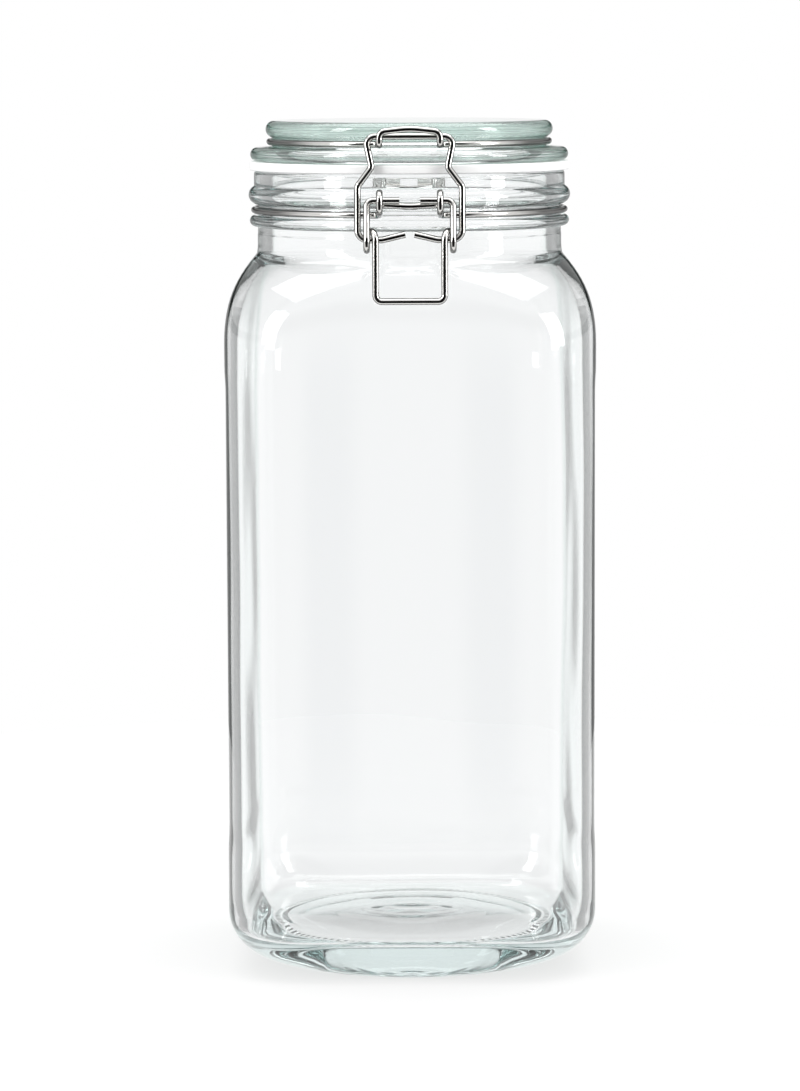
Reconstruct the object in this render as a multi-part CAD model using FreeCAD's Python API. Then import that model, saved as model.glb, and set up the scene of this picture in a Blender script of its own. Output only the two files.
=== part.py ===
"""Clip-top storage jar: square glass body, round neck, glass lid with its seal, and a bent-wire clip.

Millimetres.  The origin is on the jar's axis at the surface it stands on, +Z is up, the clip is at -Y and the
lid's hinge at +Y.  The jar is shown shut, with the lever folded down.
"""
import FreeCAD, Part
import math
import os

V = FreeCAD.Vector
AXIS = V(0, 0, 1)
ORIGIN = V(0, 0, 0)

# ---- glass body ------------------------------------------------------------------------------------------
BODY_WIDTH = 112.6          # across the flats
CORNER_RADIUS = 25.0        # vertical corners of the body
BODY_HEIGHT = 218.0         # base to the foot of the neck
WALL = 3.4
FLOOR = 11.0                # glass under the contents, at the edge of the floor
FLOOR_CROWN = 2.4           # rise of the floor at its middle
PUSH_UP = 4.2               # hollow under the base
PUSH_UP_STEP = 1.2          # steep part of it, at the bearing ring
PUSH_UP_SLOPE = 1.6         # how far in that part reaches
HEEL_HEIGHT = 18.5
SHOULDER_HEIGHT = 26.0
BASE_RADIUS = 45.5          # where the heel meets the bearing ring
BEARING_WIDTH = 4.0
PANEL_RECESS = 0.3          # sides set back between the heel band and the shoulder band
HEEL_BAND = 20.0
SHOULDER_BAND = 8.0
PANEL_BLEND = 5.0
HEEL_BEND = 0.62            # height of the heel curve's upper control point, as a share of the heel's
HEEL_FOOT_OUT = 5.5         # its lower control point, out from the bearing ring and up
HEEL_FOOT_UP = 2.2
SHOULDER_BEND = 11.0        # outer control point of the shoulder curve, below its top
SHOULDER_TOP_OUT = 4.5      # its inner control point, out from its top and down
SHOULDER_TOP_DOWN = 5.5
FLOOR_HEIGHT = 13.0         # inside, from the floor up to the straight wall
FLOOR_REACH = 6.4           # inside, from the straight wall in to the floor's edge
FLOOR_FOOT_OUT = 4.0        # control points of the curve between them
FLOOR_FOOT_UP = 2.5
CROWN_REACH = 16.0          # inside, from the wall in to the foot of the crown

# ---- neck ------------------------------------------------------------------------------------------------
MOUTH_RADIUS = 42.3
NECK_WALL = 4.35            # below the beads
NECK_STEP = 0.1             # the body's own glass stands proud under the neck mould's parting line
NECK_FOOT = 6.0             # foot of the neck to that parting line
NECK_FLARE = 0.3            # the foot spreads this far into the shoulder
MOUTH_FLARE = 0.8           # and the mouth this far into the space below
FLARE_HEIGHT = 3.2
THROAT_DROP = 1.5           # foot of the mouth below the foot of the neck
NECK_RECESS = 2.4           # parting line to the lower bead
LOWER_BEAD_HEIGHT = 3.2
LOWER_BEAD_PROUD = 2.5
LOWER_BEAD_WIDEST = 0.58    # share of its height at which a bead stands out most
WIRE_GROOVE_PLAY = 1.3      # groove between the beads, beyond the wire's diameter
UPPER_BEAD_HEIGHT = 5.7
UPPER_BEAD_PROUD = 2.65
UPPER_BEAD_WIDEST = 0.34
COLLAR_HEIGHT = 4.8         # plain collar between the upper bead and the rim
COLLAR_PROUD = 1.15
RIM_ROUND = 1.2

# ---- seal and lid ----------------------------------------------------------------------------------------
SEAL_THICKNESS = 2.7
SEAL_WIDTH = 7.2
SEAL_LAP = 0.4              # the seal reaches this far into the mouth
SEAL_SHOWS = 0.2            # and this far out past the lid's flange
SEAL_CHAMFER = 0.3
FLANGE_THICKNESS = 4.8
FLANGE_FALL = 0.5           # its top slopes down outwards
LID_GROOVE_PLAY = 0.4
DISC_THICKNESS = 5.2
DISC_SET_BACK = 4.75        # edge of the disc inside the edge of the flange
PLUG_PLAY = 1.1             # around the ring under the lid that centres it in the mouth
PLUG_DEPTH = 4.1
PLUG_WALL = 2.6
PLUG_DRAFT = 0.3
PLUG_CHAMFER = 1.0
HOLLOW_DRAFT = 1.6
HOLLOW_ROUND = 4.0
LID_GLASS = 5.6             # glass over the hollow under the lid

# ---- wire clip -------------------------------------------------------------------------------------------
WIRE = 2.0                  # wire diameter
WIRE_GAP = 0.1              # between a ring of wire and the groove it lies in
WIRE_SUNK = 0.25            # the lid's ring lies this far inside the disc's edge
CLEARANCE = 0.35            # between moving wire and what it passes
EYE_SPACING = 18.0          # between the middles of the two eyes
EYE_SIZE = 5.6              # eye, across the wire's middle
EYE_RISE = 4.1              # middle of the eyes above the neck ring
EYE_BAR_DROP = 1.4          # wire between the two eyes, below their middle
EYE_LEAVE = 3.5             # the neck ring bends away to an eye this far beyond it
PIN_REACH = 3.1             # lever pins stop this far from the middle
LEG_GAP = 1.8               # between an eye and the leg beside it
LEVER_ARM = 11.95           # pivot to the middle of the coils, downwards
COIL_FORWARD = 1.4          # middle of the coils in front of the pivot
COIL_SIZE = 5.4             # coil, across the wire's middle
COIL_SEAT = 0.4             # the bail's pins ride this far above the coils' middle
COIL_GAP = 0.6              # between the coil's turns, which sets the finger loop's legs
HANDLE_DROP = 29.6          # pivot to the bottom of the finger loop
FOOT_GAP = 0.7              # between the lever's legs and the bail's, which straddle them
WAIST_GAP = 0.3             # between the hook's legs and the bail's waist
TOP_GAP = 2.2               # between the hook's legs and the ends of the bail's bar
BAIL_FOOT_LENGTH = 16.0     # straight part of the bail's legs
BAIL_NECK_LENGTH = 5.7      # from there to the waist
BAIL_PIN_REACH = 1.4
BAIL_PIN_RISE = 1.6         # the pins' inner ends slant up by this much
BAR_INSET = 0.9             # bar of the bail inside the edge of the lid's flange
HOOK_SPACING = 18.0
HOOK_SEAT = 0.5             # gap under the bar
HOOK_GAP = 0.9              # gap in front of the bar
HOOK_SHOULDER = 3.9         # height of the hook's corners above the lid ring
HOOK_CROWN = 0.95           # rise of the hook's middle above its corners
HOOK_LEAVE = 4.5            # the lid ring bends away to the hook this far beyond it
HINGE_LEAVE = 4.7           # and to the hinge's legs
WIRE_END_GAP = 0.3          # between the ends of the neck ring's wire
EYE_BEND = 2.5              # bend radii along the wires
TIGHT_BEND = 1.2
LEG_BEND = 1.9
SMALL_BEND = 2.0
HOOK_BEND = 1.6
HINGE_BEND = 3.0
BOW_BEND = 20.0
CROWN_BEND = 25.0
BAIL_PIN_BEND = 4.0
BAIL_FOOT_BEND = 3.0
BAIL_BEND = 2.4

# ---- levels and places that follow -----------------------------------------------------------------------
HALF = BODY_WIDTH / 2
WIRE_R = WIRE / 2
WIRE_GROOVE = WIRE + WIRE_GROOVE_PLAY
LID_GROOVE = WIRE + LID_GROOVE_PLAY
NECK_RADIUS = MOUTH_RADIUS + NECK_WALL
LOWER_BEAD_RADIUS = NECK_RADIUS + LOWER_BEAD_PROUD
UPPER_BEAD_RADIUS = NECK_RADIUS + UPPER_BEAD_PROUD
COLLAR_RADIUS = NECK_RADIUS + COLLAR_PROUD
SEAL_RADIUS = MOUTH_RADIUS - SEAL_LAP + SEAL_WIDTH
FLANGE_RADIUS = SEAL_RADIUS - SEAL_SHOWS
DISC_RADIUS = FLANGE_RADIUS - DISC_SET_BACK
LID_GROOVE_RADIUS = DISC_RADIUS - WIRE_SUNK - WIRE - WIRE_GAP
PLUG_RADIUS = MOUTH_RADIUS - PLUG_PLAY

SHOULDER_Z = BODY_HEIGHT - SHOULDER_HEIGHT
STEP_Z = BODY_HEIGHT + NECK_FOOT
LOWER_BEAD_Z = STEP_Z + NECK_RECESS
GROOVE_Z = LOWER_BEAD_Z + LOWER_BEAD_HEIGHT
UPPER_BEAD_Z = GROOVE_Z + WIRE_GROOVE
COLLAR_Z = UPPER_BEAD_Z + UPPER_BEAD_HEIGHT
RIM_Z = COLLAR_Z + COLLAR_HEIGHT
FLANGE_Z = RIM_Z + SEAL_THICKNESS
LID_GROOVE_Z = FLANGE_Z + FLANGE_THICKNESS
DISC_Z = LID_GROOVE_Z + LID_GROOVE
TOP_Z = DISC_Z + DISC_THICKNESS

NECK_RING_Z = GROOVE_Z + WIRE_GROOVE / 2
NECK_RING_RADIUS = NECK_RADIUS + WIRE_GAP + WIRE_R
LID_RING_Z = LID_GROOVE_Z + LID_GROOVE / 2
LID_RING_RADIUS = LID_GROOVE_RADIUS + WIRE_GAP + WIRE_R

EYE_X = EYE_SPACING / 2
LEG_X = EYE_X + WIRE + LEG_GAP                              # outer legs of the lever and of the hinge
LOOP_X = LEG_X - WIRE - COIL_GAP
FOOT_X = LEG_X + WIRE + FOOT_GAP
HOOK_X = HOOK_SPACING / 2
WAIST_X = HOOK_X + WIRE + WAIST_GAP
TOP_X = HOOK_X + WIRE + TOP_GAP
EYE_HALF = EYE_SIZE / 2
BEAD_AT_EYE = math.sqrt(UPPER_BEAD_RADIUS ** 2 - (EYE_X - WIRE_R) ** 2)
PIVOT_OUT = BEAD_AT_EYE + CLEARANCE + WIRE_R + EYE_HALF     # distance of both pivots from the jar's axis
EYE_Z = NECK_RING_Z + EYE_RISE
PIVOT_Z = EYE_Z + EYE_HALF - WIRE - CLEARANCE               # the pins pull up against the eyes
COIL_OUT = PIVOT_OUT + COIL_FORWARD
COIL_Z = PIVOT_Z - LEVER_ARM
COIL_R = COIL_SIZE / 2
BAIL_PIN_Z = COIL_Z + COIL_SEAT
BAR_OUT = FLANGE_RADIUS - BAR_INSET
BAR_Z = LID_RING_Z + WIRE + HOOK_SEAT
HOOK_OUT = BAR_OUT + WIRE + HOOK_GAP


# ---- glass helpers ---------------------------------------------------------------------------------------
def bezier(p0, p1, p2, p3, t):
    """Point (radius, height) on a cubic curve."""
    s = 1 - t
    weights = (s ** 3, 3 * s * s * t, 3 * s * t * t, t ** 3)
    points = (p0, p1, p2, p3)
    return (sum(w * p[0] for w, p in zip(weights, points)),
            sum(w * p[1] for w, p in zip(weights, points)))


def rounded_square(half, corner, z):
    """Closed outline of a square with rounded corners, level at height z."""
    flat = half - corner
    diagonal = corner * math.sqrt(0.5)
    edges = []
    for side in range(4):
        turn = FreeCAD.Rotation(AXIS, 90 * side)
        start = turn.multVec(V(half, -flat, z))
        end = turn.multVec(V(half, flat, z))
        middle = turn.multVec(V(flat + diagonal, flat + diagonal, z))
        after = turn.multVec(V(flat, half, z))
        edges.append(Part.LineSegment(start, end).toShape())
        edges.append(Part.Arc(end, middle, after).toShape())
    return Part.Wire(edges)


def blend_solid(curve, start_corner, end_corner, stations):
    """Loft whose half width follows the curve while its corners go from one radius to the other."""
    start_half = curve[0][0]
    end_half = curve[3][0]
    sections = []
    for t in stations:
        half, z = bezier(*curve, t)
        share = (half - end_half) / (start_half - end_half)
        corner = end_corner + share * (start_corner - end_corner)
        sections.append(rounded_square(half, corner, z))
    return Part.makeLoft(sections, True, False)


def banded_solid(levels):
    """Upright body through (half width, corner radius, height) levels, straight in between."""
    sections = [rounded_square(half, corner, z) for half, corner, z in levels]
    return Part.makeLoft(sections, True, True)


def line(a, b):
    """Straight edge in the r-z plane."""
    return Part.LineSegment(V(a[0], 0, a[1]), V(b[0], 0, b[1])).toShape()


def arc(a, b, c):
    """Arc through three points of the r-z plane."""
    return Part.Arc(V(a[0], 0, a[1]), V(b[0], 0, b[1]), V(c[0], 0, c[1])).toShape()


def turned(edges):
    """Solid of revolution about the jar's axis from a closed r-z outline."""
    face = Part.Face(Part.Wire(edges))
    return face.revolve(ORIGIN, AXIS, 360)


STATIONS = (0, 0.15, 0.3, 0.45, 0.6, 0.74, 0.87, 1)
NEARLY_ROUND = 0.3          # flat left on a section that is all but a circle, so that it keeps its eight sides
OVERLAP = 0.2               # one solid into the next where they are fused


def shoulder_solid(half, corner, z, top, top_z):
    """Shoulder from a rounded square at height z in to an all but round top."""
    curve = ((half, z), (half, top_z - SHOULDER_BEND),
             (top + SHOULDER_TOP_OUT, top_z - SHOULDER_TOP_DOWN), (top, top_z))
    return blend_solid(curve, corner, top - NEARLY_ROUND, STATIONS)


def flare_edge(radius, z, spread):
    """Edge from a round wall's spread foot at height z up to its own radius."""
    middle = (radius + spread * 0.26, z + FLARE_HEIGHT * 0.47)
    return arc((radius + spread, z), middle, (radius, z + FLARE_HEIGHT))


def quarter(centre_r, centre_z, radius, start):
    """Quarter circle in the r-z plane, anticlockwise from the start angle in degrees."""
    points = []
    for turn in (start, start + 45, start + 90):
        angle = math.radians(turn)
        points.append((centre_r + radius * math.cos(angle), centre_z + radius * math.sin(angle)))
    return arc(*points)


def dome_edge(radius, z, rise):
    """Part of a circle centred on the axis, from (radius, z) up to the axis."""
    ball = (radius ** 2 + rise ** 2) / (2 * rise)
    half_way = math.asin(radius / ball) / 2
    middle = (ball * math.sin(half_way), z + rise - ball * (1 - math.cos(half_way)))
    return arc((radius, z), middle, (0, z + rise))


def body_outside():
    """Heel, banded sides and shoulder, up to the foot of the neck."""
    panel = HALF - PANEL_RECESS
    panel_corner = CORNER_RADIUS - PANEL_RECESS
    heel_curve = ((HALF, HEEL_HEIGHT), (HALF, HEEL_HEIGHT * HEEL_BEND),
                  (BASE_RADIUS + HEEL_FOOT_OUT, HEEL_FOOT_UP), (BASE_RADIUS, 0))
    heel = blend_solid(heel_curve, CORNER_RADIUS, BASE_RADIUS - NEARLY_ROUND, STATIONS)
    low = HEEL_HEIGHT + HEEL_BAND
    high = SHOULDER_Z - SHOULDER_BAND
    sides = banded_solid((
        (HALF, CORNER_RADIUS, HEEL_HEIGHT),
        (HALF, CORNER_RADIUS, low),
        (panel, panel_corner, low + PANEL_BLEND),
        (panel, panel_corner, high - PANEL_BLEND),
        (HALF, CORNER_RADIUS, high),
        (HALF, CORNER_RADIUS, SHOULDER_Z),
    ))
    top = NECK_RADIUS + NECK_STEP + NECK_FLARE
    shoulder = shoulder_solid(HALF, CORNER_RADIUS, SHOULDER_Z, top, BODY_HEIGHT)
    return heel.fuse([sides, shoulder])


def neck_outside():
    """Round neck: flared foot, parting step, two beads with the wire's groove between, collar and rim."""
    foot_radius = NECK_RADIUS + NECK_STEP
    spread = NECK_FLARE + OVERLAP
    lower_widest = LOWER_BEAD_Z + LOWER_BEAD_HEIGHT * LOWER_BEAD_WIDEST
    upper_widest = UPPER_BEAD_Z + UPPER_BEAD_HEIGHT * UPPER_BEAD_WIDEST
    edges = [
        line((0, BODY_HEIGHT), (foot_radius + spread, BODY_HEIGHT)),
        flare_edge(foot_radius, BODY_HEIGHT, spread),
        line((foot_radius, BODY_HEIGHT + FLARE_HEIGHT), (foot_radius, STEP_Z)),
        line((foot_radius, STEP_Z), (NECK_RADIUS, STEP_Z + NECK_STEP)),
        line((NECK_RADIUS, STEP_Z + NECK_STEP), (NECK_RADIUS, LOWER_BEAD_Z)),
        arc((NECK_RADIUS, LOWER_BEAD_Z), (LOWER_BEAD_RADIUS, lower_widest), (NECK_RADIUS, GROOVE_Z)),
        line((NECK_RADIUS, GROOVE_Z), (NECK_RADIUS, UPPER_BEAD_Z)),
        arc((NECK_RADIUS, UPPER_BEAD_Z), (UPPER_BEAD_RADIUS, upper_widest), (COLLAR_RADIUS, COLLAR_Z)),
        line((COLLAR_RADIUS, COLLAR_Z), (COLLAR_RADIUS, RIM_Z - RIM_ROUND)),
        quarter(COLLAR_RADIUS - RIM_ROUND, RIM_Z - RIM_ROUND, RIM_ROUND, 0),
        line((COLLAR_RADIUS - RIM_ROUND, RIM_Z), (0, RIM_Z)),
        line((0, RIM_Z), (0, BODY_HEIGHT)),
    ]
    return turned(edges)


def body_inside():
    """The space for the contents: rounded floor, straight sides, shoulder and mouth."""
    half = HALF - PANEL_RECESS - WALL
    corner = CORNER_RADIUS - PANEL_RECESS - WALL
    floor_half = half - FLOOR_REACH
    floor_corner = corner - 1
    low = FLOOR + FLOOR_HEIGHT
    high = SHOULDER_Z - 1
    floor_curve = ((half, low), (half, FLOOR + FLOOR_FOOT_UP),
                   (floor_half + FLOOR_FOOT_OUT, FLOOR), (floor_half, FLOOR))
    floor = blend_solid(floor_curve, corner, floor_corner, STATIONS)
    sides = banded_solid(((half, corner, low), (half, corner, high)))
    top = MOUTH_RADIUS + MOUTH_FLARE
    top_z = BODY_HEIGHT - THROAT_DROP
    shoulder = shoulder_solid(half, corner, high, top, top_z)
    mouth = turned([
        line((0, top_z), (top + OVERLAP, top_z)),
        flare_edge(MOUTH_RADIUS, top_z, MOUTH_FLARE + OVERLAP),
        line((MOUTH_RADIUS, top_z + FLARE_HEIGHT), (MOUTH_RADIUS, RIM_Z + 1)),
        line((MOUTH_RADIUS, RIM_Z + 1), (0, RIM_Z + 1)),
        line((0, RIM_Z + 1), (0, top_z)),
    ])
    return floor.fuse([sides, shoulder, mouth])


def floor_crown():
    """Glass that rises in the middle of the floor."""
    edge = HALF - WALL - CROWN_REACH
    return turned([
        line((0, FLOOR - 1), (edge, FLOOR - 1)),
        line((edge, FLOOR - 1), (edge, FLOOR)),
        dome_edge(edge, FLOOR, FLOOR_CROWN),
        line((0, FLOOR + FLOOR_CROWN), (0, FLOOR - 1)),
    ])


def push_up():
    """Shallow dome under the base, inside the bearing ring."""
    edge = BASE_RADIUS - BEARING_WIDTH
    foot = edge - PUSH_UP_SLOPE
    rise = PUSH_UP - PUSH_UP_STEP
    return turned([
        line((0, -1), (edge, -1)),
        line((edge, -1), (edge, 0)),
        line((edge, 0), (foot, PUSH_UP_STEP)),
        dome_edge(foot, PUSH_UP_STEP, rise),
        line((0, PUSH_UP), (0, -1)),
    ])


def glass_jar():
    outside = body_outside().fuse(neck_outside())
    hollow = outside.cut(body_inside())
    floored = hollow.fuse(floor_crown())
    return floored.cut(push_up()).removeSplitter()


def glass_lid():
    """Disc with a rounded edge, wire groove, flange that presses the seal, and a plug ring around a hollow."""
    disc_round = DISC_THICKNESS / 2
    disc_flat = DISC_RADIUS - disc_round
    flange_round = FLANGE_THICKNESS / 2
    flange_top = (FLANGE_RADIUS - flange_round, LID_GROOVE_Z - FLANGE_FALL)
    flange_foot = (FLANGE_RADIUS - flange_round * 0.75, FLANGE_Z)
    plug_z = FLANGE_Z - PLUG_DEPTH
    plug_side = PLUG_RADIUS - PLUG_DRAFT
    hollow_foot = PLUG_RADIUS - PLUG_WALL
    hollow_side = hollow_foot - HOLLOW_DRAFT
    hollow_z = TOP_Z - LID_GLASS
    return turned([
        line((0, TOP_Z), (disc_flat, TOP_Z)),
        arc((disc_flat, TOP_Z), (DISC_RADIUS, TOP_Z - disc_round), (disc_flat, DISC_Z)),
        line((disc_flat, DISC_Z), (LID_GROOVE_RADIUS, LID_GROOVE_Z)),
        line((LID_GROOVE_RADIUS, LID_GROOVE_Z), flange_top),
        arc(flange_top, (FLANGE_RADIUS, FLANGE_Z + flange_round * 0.88), flange_foot),
        line(flange_foot, (PLUG_RADIUS, FLANGE_Z)),
        line((PLUG_RADIUS, FLANGE_Z), (plug_side, plug_z + PLUG_CHAMFER)),
        line((plug_side, plug_z + PLUG_CHAMFER), (plug_side - PLUG_CHAMFER, plug_z)),
        line((plug_side - PLUG_CHAMFER, plug_z), (hollow_foot, plug_z)),
        line((hollow_foot, plug_z), (hollow_side, hollow_z - HOLLOW_ROUND)),
        quarter(hollow_side - HOLLOW_ROUND, hollow_z - HOLLOW_ROUND, HOLLOW_ROUND, 0),
        line((hollow_side - HOLLOW_ROUND, hollow_z), (0, hollow_z)),
        line((0, hollow_z), (0, TOP_Z)),
    ])


def seal_ring():
    """Flat rubber ring between the rim and the lid's flange."""
    inner = SEAL_RADIUS - SEAL_WIDTH
    flat = SEAL_RADIUS - SEAL_CHAMFER
    return turned([
        line((inner, RIM_Z), (flat, RIM_Z)),
        line((flat, RIM_Z), (SEAL_RADIUS, RIM_Z + SEAL_CHAMFER)),
        line((SEAL_RADIUS, RIM_Z + SEAL_CHAMFER), (SEAL_RADIUS, FLANGE_Z - SEAL_CHAMFER)),
        line((SEAL_RADIUS, FLANGE_Z - SEAL_CHAMFER), (flat, FLANGE_Z)),
        line((flat, FLANGE_Z), (inner, FLANGE_Z)),
        line((inner, FLANGE_Z), (inner, RIM_Z)),
    ])


# ---- wire helpers ----------------------------------------------------------------------------------------
def bent_path(points, bends):
    """Straight runs through the points, joined by tangent arcs of the given bend radii at the inner points."""
    edges = []
    cursor = points[0]
    for before, corner, after, radius in zip(points, points[1:], points[2:], bends):
        back = (before - corner).normalize()
        ahead = (after - corner).normalize()
        half_turn = (math.pi - back.getAngle(ahead)) / 2
        reach = radius * math.tan(half_turn)
        start = corner + back * reach
        end = corner + ahead * reach
        bisector = (back + ahead).normalize()
        middle = corner + bisector * (radius / math.cos(half_turn) - radius)
        if (start - cursor).Length > 1e-6:
            edges.append(Part.LineSegment(cursor, start).toShape())
        edges.append(Part.Arc(start, middle, end).toShape())
        cursor = end
    edges.append(Part.LineSegment(cursor, points[-1]).toShape())
    return edges


def mirrored(points):
    """The same points on the other side of the jar, in reverse order."""
    return [V(-p.x, p.y, p.z) for p in reversed(points)]


def wire_solid(edges):
    """Round wire along a chain of edges."""
    path = Part.Wire(edges)
    first = edges[0]
    start = first.valueAt(first.FirstParameter)
    direction = first.tangentAt(first.FirstParameter)
    disc = Part.Face(Part.Wire(Part.makeCircle(WIRE_R, start, direction)))
    return path.makePipe(disc)


def ring_side(radius, z, from_x, to_x, side):
    """Half of a ring around the jar, on the +X or -X side, from the clip's side to the hinge's side."""
    front = V(side * from_x, -math.sqrt(radius ** 2 - from_x ** 2), z)
    back = V(side * to_x, math.sqrt(radius ** 2 - to_x ** 2), z)
    return front, Part.Arc(front, V(side * radius, 0, z), back).toShape(), back


def leave_ring(radius, z, at_x, to_x, face):
    """Corner at which a ring's tangent from x = at_x meets the plane x = to_x; face is -1 at the clip, +1 behind."""
    y = math.sqrt(radius ** 2 - at_x ** 2)
    return V(to_x, face * (y + (at_x - to_x) * at_x / y), z)


def eye_points(face):
    """One eye of the neck ring at +X, from the middle of the jar outwards to the ring; face as above."""
    inner = PIVOT_OUT - EYE_HALF
    outer = PIVOT_OUT + EYE_HALF
    top = EYE_Z + EYE_HALF
    bottom = EYE_Z - EYE_HALF
    bar_end = top - EYE_BEND - TIGHT_BEND
    return [
        V(EYE_X, face * inner, bar_end),
        V(EYE_X, face * inner, top),
        V(EYE_X, face * outer, top),
        V(EYE_X, face * outer, bottom),
        leave_ring(NECK_RING_RADIUS, NECK_RING_Z, EYE_X + EYE_LEAVE, EYE_X, face),
    ]


def neck_wire():
    """Ring in the neck's groove with two eyes at the clip and two at the hinge; its ends meet behind."""
    eye_bends = [TIGHT_BEND, EYE_BEND, EYE_BEND, EYE_BEND, LEG_BEND]
    ring_x = EYE_X + EYE_LEAVE
    bar = UPPER_BEAD_RADIUS + WIRE_GAP + WIRE_R
    bar_z = EYE_Z - EYE_BAR_DROP
    right_start, right_arc, right_end = ring_side(NECK_RING_RADIUS, NECK_RING_Z, ring_x, ring_x, 1)
    left_start, left_arc, left_end = ring_side(NECK_RING_RADIUS, NECK_RING_Z, ring_x, ring_x, -1)
    front_eye = eye_points(-1)
    front = [left_start] + mirrored(front_eye) + [V(0, -bar, bar_z)] + front_eye + [right_start]
    front_bends = eye_bends[::-1] + [BOW_BEND] + eye_bends
    rear_eye = eye_points(1)
    end_x = WIRE_END_GAP / 2
    rear_right = [right_end] + rear_eye[::-1] + [V(end_x, bar, bar_z)]
    rear_left = [V(-end_x, bar, bar_z)] + mirrored(rear_eye[::-1]) + [left_end]
    edges = bent_path(rear_left, eye_bends)
    edges.append(left_arc)
    edges += bent_path(front, front_bends)
    edges.append(right_arc)
    edges += bent_path(rear_right, eye_bends[::-1])
    return wire_solid(Part.__sortEdges__(edges))


def lid_wire():
    """Ring in the lid's groove: hook over the bail's bar in front, two legs with pins at the hinge."""
    front_x = HOOK_X + HOOK_LEAVE
    rear_x = LEG_X + HINGE_LEAVE
    hook = [
        V(HOOK_X, -HOOK_OUT, LID_RING_Z + HOOK_SHOULDER),
        V(HOOK_X, -HOOK_OUT, LID_RING_Z),
        leave_ring(LID_RING_RADIUS, LID_RING_Z, front_x, HOOK_X, -1),
    ]
    right_start, right_arc, right_end = ring_side(LID_RING_RADIUS, LID_RING_Z, front_x, rear_x, 1)
    left_start, left_arc, left_end = ring_side(LID_RING_RADIUS, LID_RING_Z, front_x, rear_x, -1)
    crown = V(0, -HOOK_OUT, LID_RING_Z + HOOK_SHOULDER + HOOK_CROWN)
    front = [left_start] + mirrored(hook) + [crown] + hook + [right_start]
    hook_bends = [SMALL_BEND, HOOK_BEND, SMALL_BEND]
    hinge = [
        leave_ring(LID_RING_RADIUS, LID_RING_Z, rear_x, LEG_X, 1),
        V(LEG_X, PIVOT_OUT, LID_RING_Z),
        V(LEG_X, PIVOT_OUT, PIVOT_Z),
        V(PIN_REACH, PIVOT_OUT, PIVOT_Z),
    ]
    hinge_bends = [SMALL_BEND, HINGE_BEND, LEG_BEND]
    edges = bent_path(mirrored([right_end] + hinge), hinge_bends[::-1])
    edges.append(left_arc)
    edges += bent_path(front, hook_bends[::-1] + [CROWN_BEND] + hook_bends)
    edges.append(right_arc)
    edges += bent_path([right_end] + hinge, hinge_bends)
    return wire_solid(Part.__sortEdges__(edges))


def lever_wire():
    """Pins in the eyes, outer legs, one turn of coil on each side and the finger loop, from one wire."""
    span = math.hypot(COIL_OUT - PIVOT_OUT, LEVER_ARM)
    lean = math.atan2(COIL_OUT - PIVOT_OUT, LEVER_ARM) + math.asin(COIL_R / span)
    corner_out = COIL_OUT + COIL_R * math.tan((math.pi / 2 + lean) / 2)
    bottom = COIL_Z - COIL_R
    crossing = math.hypot(LEG_X - LOOP_X, COIL_SIZE) / 2
    top = COIL_Z + crossing
    handle_out = HALF + CLEARANCE + WIRE_R
    right = [
        V(PIN_REACH, -PIVOT_OUT, PIVOT_Z),
        V(LEG_X, -PIVOT_OUT, PIVOT_Z),
        V(LEG_X, -corner_out, bottom),
        V(LEG_X, -(COIL_OUT - COIL_R), bottom),
        V(LEG_X, -(COIL_OUT - COIL_R), top),
        V(LOOP_X, -(COIL_OUT + COIL_R), top),
        V(LOOP_X, -handle_out, PIVOT_Z - HANDLE_DROP),
    ]
    bends = [LEG_BEND, COIL_R, COIL_R, crossing * 0.999, crossing * 0.97, LEG_BEND]
    return wire_solid(bent_path(right + mirrored(right), bends + bends[::-1]))


def bail_wire():
    """Closing bail: pins in the lever's coils, straddling feet, waist and the bar held by the lid's hook."""
    pin = V(0, -COIL_OUT, BAIL_PIN_Z)
    rise = (V(0, -BAR_OUT, BAR_Z) - pin)
    length = rise.Length
    up = rise.normalize()

    def at(x, height):
        return pin + V(x, 0, 0) + up * height

    pin_bend_x = LOOP_X - WIRE
    right = [
        at(BAIL_PIN_REACH, BAIL_PIN_RISE),
        at(pin_bend_x, 0),
        at(FOOT_X, 0),
        at(FOOT_X, BAIL_FOOT_LENGTH),
        at(WAIST_X, BAIL_FOOT_LENGTH + BAIL_NECK_LENGTH),
        at(TOP_X, length),
    ]
    bends = [BAIL_PIN_BEND, BAIL_FOOT_BEND, BAIL_BEND, SMALL_BEND, BAIL_BEND]
    return wire_solid(bent_path(right + mirrored(right), bends + bends[::-1]))


PARTS = {
    "glass_jar": glass_jar,
    "glass_lid": glass_lid,
    "seal_ring": seal_ring,
    "neck_wire": neck_wire,
    "lid_wire": lid_wire,
    "lever_wire": lever_wire,
    "bail_wire": bail_wire,
}

os.makedirs("parts", exist_ok=True)
for name, make in PARTS.items():
    shape = make()
    solid = shape.Solids[0] if len(shape.Solids) == 1 else shape
    solid.exportStep("parts/" + name + ".step")
    box = solid.BoundBox
    print(name, "solids", len(shape.Solids), "valid", shape.isValid(), "cm3 %.2f" % (shape.Volume / 1000),
          "x %.1f %.1f y %.1f %.1f z %.1f %.1f" % (box.XMin, box.XMax, box.YMin, box.YMax, box.ZMin, box.ZMax))
print("pivot out %.3f z %.3f, bail pin out %.3f z %.3f" % (PIVOT_OUT, PIVOT_Z, COIL_OUT, BAIL_PIN_Z))
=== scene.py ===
"""Looks for the clip-top storage jar: clear glass, pale rubber seal and steel wire in a white studio.

The scene is in metres.  The sizes and profiles are in millimetres and repeat the jar's driving sizes.  The
glass pieces and the seal are smooth meshes that stand for their CAD nodes; the wires are the CAD nodes
themselves, with a steel material.
"""
import math

import bpy
import numpy as np
from mathutils import Euler, Matrix, Vector


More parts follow.
